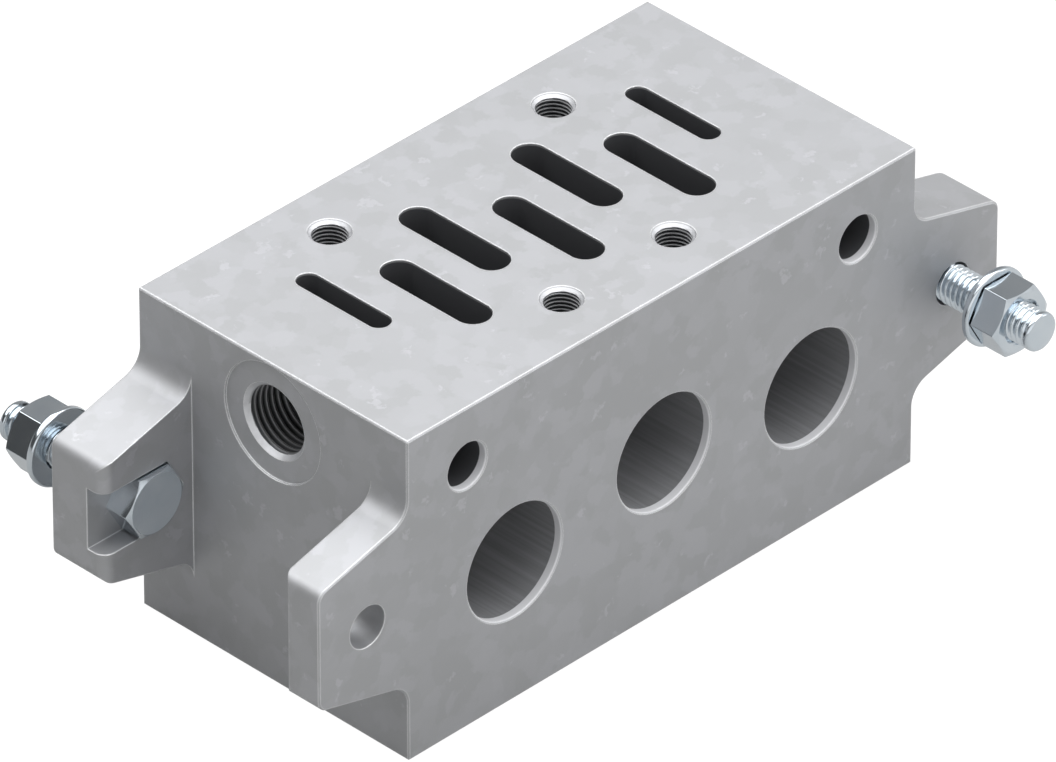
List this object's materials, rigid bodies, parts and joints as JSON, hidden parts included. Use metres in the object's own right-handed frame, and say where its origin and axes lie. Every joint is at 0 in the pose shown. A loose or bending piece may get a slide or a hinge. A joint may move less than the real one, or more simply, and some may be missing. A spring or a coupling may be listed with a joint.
{
  "type": "manifold sub-base",
  "caption": "Aluminium sub-base block with a slotted valve face, through ducts, threaded ports and end lugs whose bolts join it to the next block in a row.",
  "frame": {"origin": "centre of the underside, midway between the two lug ends and between the two joining faces", "axes": "+X along the row of slots, from one lugged end to the other; +Y out of the joining face that holds the seals; +Z out of the valve face"},
  "size_m": [0.11, 0.0714, 0.044],
  "materials": {
    "cast_aluminium": "machined and blasted, mottled satin grey",
    "zinc_plated_steel": "bright zinc plate with a bluish tint",
    "nitrile_rubber": "matt black moulded rubber"
  },
  "bodies": {
    "root": {"manifold_body": "cast_aluminium", "middle_duct_seal": "nitrile_rubber", "outer_duct_seal_left": "nitrile_rubber", "outer_duct_seal_right": "nitrile_rubber", "pilot_duct_seal_left": "nitrile_rubber", "pilot_duct_seal_right": "nitrile_rubber", "joining_bolt_left": "zinc_plated_steel", "joining_bolt_right": "zinc_plated_steel", "washer_left": "zinc_plated_steel", "washer_right": "zinc_plated_steel", "nut_left": "zinc_plated_steel", "nut_right": "zinc_plated_steel"}
  },
  "joints": []
}
